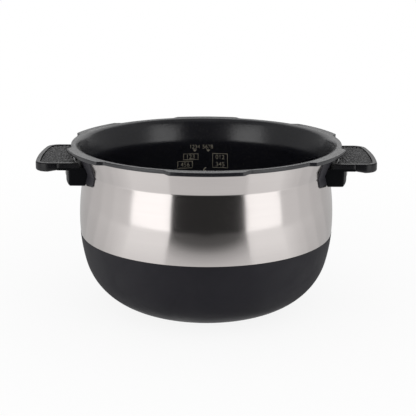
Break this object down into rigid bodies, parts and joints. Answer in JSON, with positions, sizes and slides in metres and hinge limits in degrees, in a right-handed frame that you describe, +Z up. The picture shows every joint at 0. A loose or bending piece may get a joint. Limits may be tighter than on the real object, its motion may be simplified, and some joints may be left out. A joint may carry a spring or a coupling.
{
  "type": "rice cooker inner pot",
  "caption": "Round clad-steel inner pot of a pressure rice cooker: flared neck, lugged rim, coated base and two flat screwed-on side grips.",
  "frame": {"origin": "centre of the underside of the base", "axes": "+Z up through the mouth; +X from the middle to the right grip; -Y is the side that the picture shows"},
  "size_m": [0.2578, 0.215, 0.127],
  "materials": {
    "polished_steel": "bright polished stainless steel with fine lathe marks round the bowl",
    "core_aluminium": "plain rolled aluminium, hidden between the steel layers",
    "liner_steel": "plain stainless steel, hidden under the coat",
    "nonstick": "satin black non-stick coat with a fine fleck",
    "base_enamel": "matt black heat-resistant coat with a fine grain",
    "boss_steel": "plain machined stainless steel",
    "saddle_plastic": "thin moulded heat-resistant plastic, dark grey",
    "grip_plastic": "moulded heat-resistant plastic, black",
    "cover_plastic": "moulded heat-resistant plastic, black, satin",
    "pad_rubber": "pebbled soft-touch rubber",
    "fastener_steel": "plated steel"
  },
  "bodies": {
    "root": {"outer_shell": "polished_steel", "aluminium_core": "core_aluminium", "inner_liner": "liner_steel", "nonstick_coat": "nonstick", "base_coat": "base_enamel", "base_sole": "base_enamel", "weld_bosses_right": "boss_steel", "saddle_right": "saddle_plastic", "grip_base_right": "grip_plastic", "grip_cover_right": "cover_plastic", "grip_pad_right": "pad_rubber", "grip_washers_right": "fastener_steel", "grip_screws_right": "fastener_steel", "cover_screws_right": "fastener_steel", "weld_bosses_left": "boss_steel", "saddle_left": "saddle_plastic", "grip_base_left": "grip_plastic", "grip_cover_left": "cover_plastic", "grip_pad_left": "pad_rubber", "grip_washers_left": "fastener_steel", "grip_screws_left": "fastener_steel", "cover_screws_left": "fastener_steel"}
  },
  "joints": []
}
